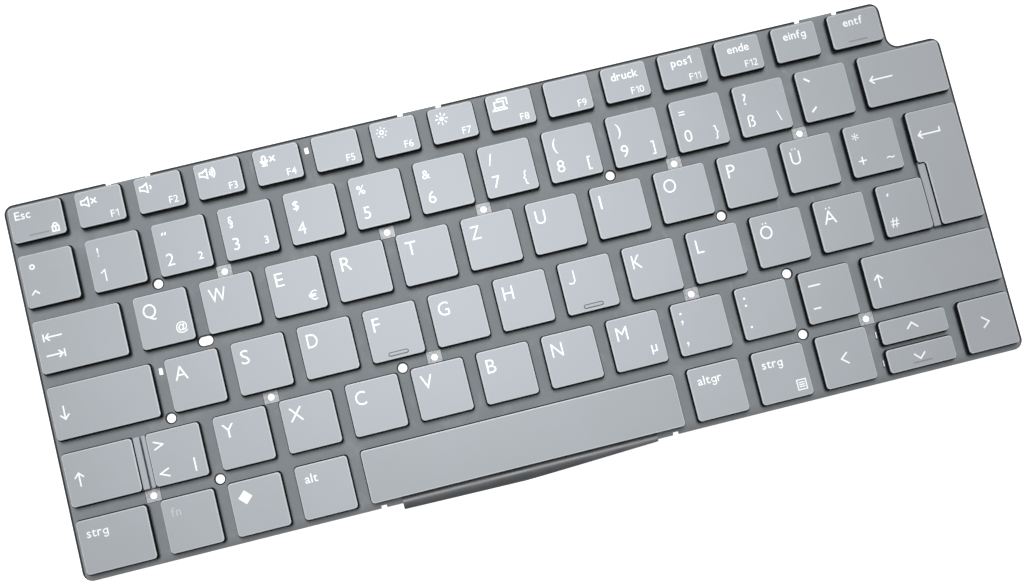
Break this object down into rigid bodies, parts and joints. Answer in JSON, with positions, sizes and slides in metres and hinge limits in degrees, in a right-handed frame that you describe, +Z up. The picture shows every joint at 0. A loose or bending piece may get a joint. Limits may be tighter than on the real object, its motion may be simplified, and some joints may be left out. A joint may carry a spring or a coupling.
{
  "type": "laptop replacement keyboard",
  "caption": "Thin unframed laptop keyboard: flat grey keycaps on scissor links and rubber domes over a switch film and a perforated backing plate.",
  "frame": {"origin": "middle of the plate's outline, on its underside", "axes": "+X along the rows to the right, +Y towards the function row, +Z up out of the key tops"},
  "size_m": [0.2762, 0.1113, 0.004],
  "materials": {
    "keycap": "fine matte",
    "film": "matte printed film",
    "plate": "dark coated",
    "dome": "matte silicone",
    "link": "moulded",
    "wire": "drawn wire",
    "flap": "satin film"
  },
  "bodies": {
    "base": {"base_plate": "plate", "front_film_flap": "flap", "function_row_keys": "keycap", "number_row_keys": "keycap", "rubber_domes": "dome", "scissor_inner_links": "link", "scissor_outer_links": "link", "switch_film": "film"},
    "space_stabiliser": {"space_stabiliser_wire": "wire"},
    "key_space": {"key_space": "keycap"},
    "key_a": {"key_a": "keycap"},
    "key_a_umlaut": {"key_a_umlaut": "keycap"},
    "key_alt_left": {"key_alt_left": "keycap"},
    "key_alt_right": {"key_alt_right": "keycap"},
    "key_angle": {"key_angle": "keycap"},
    "key_arrow_down": {"key_arrow_down": "keycap"},
    "key_arrow_left": {"key_arrow_left": "keycap"},
    "key_arrow_right": {"key_arrow_right": "keycap"},
    "key_arrow_up": {"key_arrow_up": "keycap"},
    "key_b": {"key_b": "keycap"},
    "key_c": {"key_c": "keycap"},
    "key_caps_lock": {"key_caps_lock": "keycap"},
    "key_comma": {"key_comma": "keycap"},
    "key_control_left": {"key_control_left": "keycap"},
    "key_control_right": {"key_control_right": "keycap"},
    "key_d": {"key_d": "keycap"},
    "key_e": {"key_e": "keycap"},
    "key_enter": {"key_enter": "keycap"},
    "key_f": {"key_f": "keycap"},
    "key_full_stop": {"key_full_stop": "keycap"},
    "key_function": {"key_function": "keycap"},
    "key_g": {"key_g": "keycap"},
    "key_h": {"key_h": "keycap"},
    "key_hash": {"key_hash": "keycap"},
    "key_hyphen": {"key_hyphen": "keycap"},
    "key_i": {"key_i": "keycap"},
    "key_j": {"key_j": "keycap"},
    "key_k": {"key_k": "keycap"},
    "key_l": {"key_l": "keycap"},
    "key_m": {"key_m": "keycap"},
    "key_n": {"key_n": "keycap"},
    "key_o": {"key_o": "keycap"},
    "key_o_umlaut": {"key_o_umlaut": "keycap"},
    "key_p": {"key_p": "keycap"},
    "key_plus": {"key_plus": "keycap"},
    "key_q": {"key_q": "keycap"},
    "key_r": {"key_r": "keycap"},
    "key_s": {"key_s": "keycap"},
    "key_shift_left": {"key_shift_left": "keycap"},
    "key_shift_right": {"key_shift_right": "keycap"},
    "key_system": {"key_system": "keycap"},
    "key_t": {"key_t": "keycap"},
    "key_tab": {"key_tab": "keycap"},
    "key_u": {"key_u": "keycap"},
    "key_u_umlaut": {"key_u_umlaut": "keycap"},
    "key_v": {"key_v": "keycap"},
    "key_w": {"key_w": "keycap"},
    "key_x": {"key_x": "keycap"},
    "key_y": {"key_y": "keycap"},
    "key_z": {"key_z": "keycap"}
  },
  "joints": [
    {"name": "key_space_press", "type": "slide", "parent": "base", "child": "key_space", "axis": [0, 0, -1], "range_m": [0, 0.0013], "stiffness_N_per_m": 400, "springref_m": -0.0002, "deforming": ["rubber_domes", "scissor_outer_links", "scissor_inner_links"]},
    {"name": "space_stabiliser_turn", "type": "hinge", "parent": "base", "child": "space_stabiliser", "pos_m": [-0.00953, -0.04448, 0.0011], "axis": [-1, 0, 0], "range_deg": [0, 15.5]},
    {"name": "key_a_press", "type": "slide", "parent": "base", "child": "key_a", "axis": [0, 0, -1], "range_m": [0, 0.0013], "stiffness_N_per_m": 400, "springref_m": -0.0002, "deforming": ["rubber_domes", "scissor_outer_links", "scissor_inner_links"]},
    {"name": "key_a_umlaut_press", "type": "slide", "parent": "base", "child": "key_a_umlaut", "axis": [0, 0, -1], "range_m": [0, 0.0013], "stiffness_N_per_m": 400, "springref_m": -0.0002, "deforming": ["rubber_domes", "scissor_outer_links", "scissor_inner_links"]},
    {"name": "key_alt_left_press", "type": "slide", "parent": "base", "child": "key_alt_left", "axis": [0, 0, -1], "range_m": [0, 0.0013], "stiffness_N_per_m": 400, "springref_m": -0.0002, "deforming": ["rubber_domes", "scissor_outer_links", "scissor_inner_links"]},
    {"name": "key_alt_right_press", "type": "slide", "parent": "base", "child": "key_alt_right", "axis": [0, 0, -1], "range_m": [0, 0.0013], "stiffness_N_per_m": 400, "springref_m": -0.0002, "deforming": ["rubber_domes", "scissor_outer_links", "scissor_inner_links"]},
    {"name": "key_angle_press", "type": "slide", "parent": "base", "child": "key_angle", "axis": [0, 0, -1], "range_m": [0, 0.0013], "stiffness_N_per_m": 400, "springref_m": -0.0002, "deforming": ["rubber_domes", "scissor_outer_links", "scissor_inner_links"]},
    {"name": "key_arrow_down_press", "type": "slide", "parent": "base", "child": "key_arrow_down", "axis": [0, 0, -1], "range_m": [0, 0.0013], "stiffness_N_per_m": 400, "springref_m": -0.0002, "deforming": ["rubber_domes", "scissor_outer_links", "scissor_inner_links"]},
    {"name": "key_arrow_left_press", "type": "slide", "parent": "base", "child": "key_arrow_left", "axis": [0, 0, -1], "range_m": [0, 0.0013], "stiffness_N_per_m": 400, "springref_m": -0.0002, "deforming": ["rubber_domes", "scissor_outer_links", "scissor_inner_links"]},
    {"name": "key_arrow_right_press", "type": "slide", "parent": "base", "child": "key_arrow_right", "axis": [0, 0, -1], "range_m": [0, 0.0013], "stiffness_N_per_m": 400, "springref_m": -0.0002, "deforming": ["rubber_domes", "scissor_outer_links", "scissor_inner_links"]},
    {"name": "key_arrow_up_press", "type": "slide", "parent": "base", "child": "key_arrow_up", "axis": [0, 0, -1], "range_m": [0, 0.0013], "stiffness_N_per_m": 400, "springref_m": -0.0002, "deforming": ["rubber_domes", "scissor_outer_links", "scissor_inner_links"]},
    {"name": "key_b_press", "type": "slide", "parent": "base", "child": "key_b", "axis": [0, 0, -1], "range_m": [0, 0.0013], "stiffness_N_per_m": 400, "springref_m": -0.0002, "deforming": ["rubber_domes", "scissor_outer_links", "scissor_inner_links"]},
    {"name": "key_c_press", "type": "slide", "parent": "base", "child": "key_c", "axis": [0, 0, -1], "range_m": [0, 0.0013], "stiffness_N_per_m": 400, "springref_m": -0.0002, "deforming": ["rubber_domes", "scissor_outer_links", "scissor_inner_links"]},
    {"name": "key_caps_lock_press", "type": "slide", "parent": "base", "child": "key_caps_lock", "axis": [0, 0, -1], "range_m": [0, 0.0013], "stiffness_N_per_m": 400, "springref_m": -0.0002, "deforming": ["rubber_domes", "scissor_outer_links", "scissor_inner_links"]},
    {"name": "key_comma_press", "type": "slide", "parent": "base", "child": "key_comma", "axis": [0, 0, -1], "range_m": [0, 0.0013], "stiffness_N_per_m": 400, "springref_m": -0.0002, "deforming": ["rubber_domes", "scissor_outer_links", "scissor_inner_links"]},
    {"name": "key_control_left_press", "type": "slide", "parent": "base", "child": "key_control_left", "axis": [0, 0, -1], "range_m": [0, 0.0013], "stiffness_N_per_m": 400, "springref_m": -0.0002, "deforming": ["rubber_domes", "scissor_outer_links", "scissor_inner_links"]},
    {"name": "key_control_right_press", "type": "slide", "parent": "base", "child": "key_control_right", "axis": [0, 0, -1], "range_m": [0, 0.0013], "stiffness_N_per_m": 400, "springref_m": -0.0002, "deforming": ["rubber_domes", "scissor_outer_links", "scissor_inner_links"]},
    {"name": "key_d_press", "type": "slide", "parent": "base", "child": "key_d", "axis": [0, 0, -1], "range_m": [0, 0.0013], "stiffness_N_per_m": 400, "springref_m": -0.0002, "deforming": ["rubber_domes", "scissor_outer_links", "scissor_inner_links"]},
    {"name": "key_e_press", "type": "slide", "parent": "base", "child": "key_e", "axis": [0, 0, -1], "range_m": [0, 0.0013], "stiffness_N_per_m": 400, "springref_m": -0.0002, "deforming": ["rubber_domes", "scissor_outer_links", "scissor_inner_links"]},
    {"name": "key_enter_press", "type": "slide", "parent": "base", "child": "key_enter", "axis": [0, 0, -1], "range_m": [0, 0.0013], "stiffness_N_per_m": 400, "springref_m": -0.0002, "deforming": ["rubber_domes", "scissor_outer_links", "scissor_inner_links"]},
    {"name": "key_f_press", "type": "slide", "parent": "base", "child": "key_f", "axis": [0, 0, -1], "range_m": [0, 0.0013], "stiffness_N_per_m": 400, "springref_m": -0.0002, "deforming": ["rubber_domes", "scissor_outer_links", "scissor_inner_links"]},
    {"name": "key_full_stop_press", "type": "slide", "parent": "base", "child": "key_full_stop", "axis": [0, 0, -1], "range_m": [0, 0.0013], "stiffness_N_per_m": 400, "springref_m": -0.0002, "deforming": ["rubber_domes", "scissor_outer_links", "scissor_inner_links"]},
    {"name": "key_function_press", "type": "slide", "parent": "base", "child": "key_function", "axis": [0, 0, -1], "range_m": [0, 0.0013], "stiffness_N_per_m": 400, "springref_m": -0.0002, "deforming": ["rubber_domes", "scissor_outer_links", "scissor_inner_links"]},
    {"name": "key_g_press", "type": "slide", "parent": "base", "child": "key_g", "axis": [0, 0, -1], "range_m": [0, 0.0013], "stiffness_N_per_m": 400, "springref_m": -0.0002, "deforming": ["rubber_domes", "scissor_outer_links", "scissor_inner_links"]},
    {"name": "key_h_press", "type": "slide", "parent": "base", "child": "key_h", "axis": [0, 0, -1], "range_m": [0, 0.0013], "stiffness_N_per_m": 400, "springref_m": -0.0002, "deforming": ["rubber_domes", "scissor_outer_links", "scissor_inner_links"]},
    {"name": "key_hash_press", "type": "slide", "parent": "base", "child": "key_hash", "axis": [0, 0, -1], "range_m": [0, 0.0013], "stiffness_N_per_m": 400, "springref_m": -0.0002, "deforming": ["rubber_domes", "scissor_outer_links", "scissor_inner_links"]},
    {"name": "key_hyphen_press", "type": "slide", "parent": "base", "child": "key_hyphen", "axis": [0, 0, -1], "range_m": [0, 0.0013], "stiffness_N_per_m": 400, "springref_m": -0.0002, "deforming": ["rubber_domes", "scissor_outer_links", "scissor_inner_links"]},
    {"name": "key_i_press", "type": "slide", "parent": "base", "child": "key_i", "axis": [0, 0, -1], "range_m": [0, 0.0013], "stiffness_N_per_m": 400, "springref_m": -0.0002, "deforming": ["rubber_domes", "scissor_outer_links", "scissor_inner_links"]},
    {"name": "key_j_press", "type": "slide", "parent": "base", "child": "key_j", "axis": [0, 0, -1], "range_m": [0, 0.0013], "stiffness_N_per_m": 400, "springref_m": -0.0002, "deforming": ["rubber_domes", "scissor_outer_links", "scissor_inner_links"]},
    {"name": "key_k_press", "type": "slide", "parent": "base", "child": "key_k", "axis": [0, 0, -1], "range_m": [0, 0.0013], "stiffness_N_per_m": 400, "springref_m": -0.0002, "deforming": ["rubber_domes", "scissor_outer_links", "scissor_inner_links"]},
    {"name": "key_l_press", "type": "slide", "parent": "base", "child": "key_l", "axis": [0, 0, -1], "range_m": [0, 0.0013], "stiffness_N_per_m": 400, "springref_m": -0.0002, "deforming": ["rubber_domes", "scissor_outer_links", "scissor_inner_links"]},
    {"name": "key_m_press", "type": "slide", "parent": "base", "child": "key_m", "axis": [0, 0, -1], "range_m": [0, 0.0013], "stiffness_N_per_m": 400, "springref_m": -0.0002, "deforming": ["rubber_domes", "scissor_outer_links", "scissor_inner_links"]},
    {"name": "key_n_press", "type": "slide", "parent": "base", "child": "key_n", "axis": [0, 0, -1], "range_m": [0, 0.0013], "stiffness_N_per_m": 400, "springref_m": -0.0002, "deforming": ["rubber_domes", "scissor_outer_links", "scissor_inner_links"]},
    {"name": "key_o_press", "type": "slide", "parent": "base", "child": "key_o", "axis": [0, 0, -1], "range_m": [0, 0.0013], "stiffness_N_per_m": 400, "springref_m": -0.0002, "deforming": ["rubber_domes", "scissor_outer_links", "scissor_inner_links"]},
    {"name": "key_o_umlaut_press", "type": "slide", "parent": "base", "child": "key_o_umlaut", "axis": [0, 0, -1], "range_m": [0, 0.0013], "stiffness_N_per_m": 400, "springref_m": -0.0002, "deforming": ["rubber_domes", "scissor_outer_links", "scissor_inner_links"]},
    {"name": "key_p_press", "type": "slide", "parent": "base", "child": "key_p", "axis": [0, 0, -1], "range_m": [0, 0.0013], "stiffness_N_per_m": 400, "springref_m": -0.0002, "deforming": ["rubber_domes", "scissor_outer_links", "scissor_inner_links"]},
    {"name": "key_plus_press", "type": "slide", "parent": "base", "child": "key_plus", "axis": [0, 0, -1], "range_m": [0, 0.0013], "stiffness_N_per_m": 400, "springref_m": -0.0002, "deforming": ["rubber_domes", "scissor_outer_links", "scissor_inner_links"]},
    {"name": "key_q_press", "type": "slide", "parent": "base", "child": "key_q", "axis": [0, 0, -1], "range_m": [0, 0.0013], "stiffness_N_per_m": 400, "springref_m": -0.0002, "deforming": ["rubber_domes", "scissor_outer_links", "scissor_inner_links"]},
    {"name": "key_r_press", "type": "slide", "parent": "base", "child": "key_r", "axis": [0, 0, -1], "range_m": [0, 0.0013], "stiffness_N_per_m": 400, "springref_m": -0.0002, "deforming": ["rubber_domes", "scissor_outer_links", "scissor_inner_links"]},
    {"name": "key_s_press", "type": "slide", "parent": "base", "child": "key_s", "axis": [0, 0, -1], "range_m": [0, 0.0013], "stiffness_N_per_m": 400, "springref_m": -0.0002, "deforming": ["rubber_domes", "scissor_outer_links", "scissor_inner_links"]},
    {"name": "key_shift_left_press", "type": "slide", "parent": "base", "child": "key_shift_left", "axis": [0, 0, -1], "range_m": [0, 0.0013], "stiffness_N_per_m": 400, "springref_m": -0.0002, "deforming": ["rubber_domes", "scissor_outer_links", "scissor_inner_links"]},
    {"name": "key_shift_right_press", "type": "slide", "parent": "base", "child": "key_shift_right", "axis": [0, 0, -1], "range_m": [0, 0.0013], "stiffness_N_per_m": 400, "springref_m": -0.0002, "deforming": ["rubber_domes", "scissor_outer_links", "scissor_inner_links"]},
    {"name": "key_system_press", "type": "slide", "parent": "base", "child": "key_system", "axis": [0, 0, -1], "range_m": [0, 0.0013], "stiffness_N_per_m": 400, "springref_m": -0.0002, "deforming": ["rubber_domes", "scissor_outer_links", "scissor_inner_links"]},
    {"name": "key_t_press", "type": "slide", "parent": "base", "child": "key_t", "axis": [0, 0, -1], "range_m": [0, 0.0013], "stiffness_N_per_m": 400, "springref_m": -0.0002, "deforming": ["rubber_domes", "scissor_outer_links", "scissor_inner_links"]},
    {"name": "key_tab_press", "type": "slide", "parent": "base", "child": "key_tab", "axis": [0, 0, -1], "range_m": [0, 0.0013], "stiffness_N_per_m": 400, "springref_m": -0.0002, "deforming": ["rubber_domes", "scissor_outer_links", "scissor_inner_links"]},
    {"name": "key_u_press", "type": "slide", "parent": "base", "child": "key_u", "axis": [0, 0, -1], "range_m": [0, 0.0013], "stiffness_N_per_m": 400, "springref_m": -0.0002, "deforming": ["rubber_domes", "scissor_outer_links", "scissor_inner_links"]},
    {"name": "key_u_umlaut_press", "type": "slide", "parent": "base", "child": "key_u_umlaut", "axis": [0, 0, -1], "range_m": [0, 0.0013], "stiffness_N_per_m": 400, "springref_m": -0.0002, "deforming": ["rubber_domes", "scissor_outer_links", "scissor_inner_links"]},
    {"name": "key_v_press", "type": "slide", "parent": "base", "child": "key_v", "axis": [0, 0, -1], "range_m": [0, 0.0013], "stiffness_N_per_m": 400, "springref_m": -0.0002, "deforming": ["rubber_domes", "scissor_outer_links", "scissor_inner_links"]},
    {"name": "key_w_press", "type": "slide", "parent": "base", "child": "key_w", "axis": [0, 0, -1], "range_m": [0, 0.0013], "stiffness_N_per_m": 400, "springref_m": -0.0002, "deforming": ["rubber_domes", "scissor_outer_links", "scissor_inner_links"]},
    {"name": "key_x_press", "type": "slide", "parent": "base", "child": "key_x", "axis": [0, 0, -1], "range_m": [0, 0.0013], "stiffness_N_per_m": 400, "springref_m": -0.0002, "deforming": ["rubber_domes", "scissor_outer_links", "scissor_inner_links"]},
    {"name": "key_y_press", "type": "slide", "parent": "base", "child": "key_y", "axis": [0, 0, -1], "range_m": [0, 0.0013], "stiffness_N_per_m": 400, "springref_m": -0.0002, "deforming": ["rubber_domes", "scissor_outer_links", "scissor_inner_links"]},
    {"name": "key_z_press", "type": "slide", "parent": "base", "child": "key_z", "axis": [0, 0, -1], "range_m": [0, 0.0013], "stiffness_N_per_m": 400, "springref_m": -0.0002, "deforming": ["rubber_domes", "scissor_outer_links", "scissor_inner_links"]}
  ],
  "couplings": [
    {"joint": "space_stabiliser_turn", "follows": "key_space_press", "rad_per_m": 205.25}
  ]
}
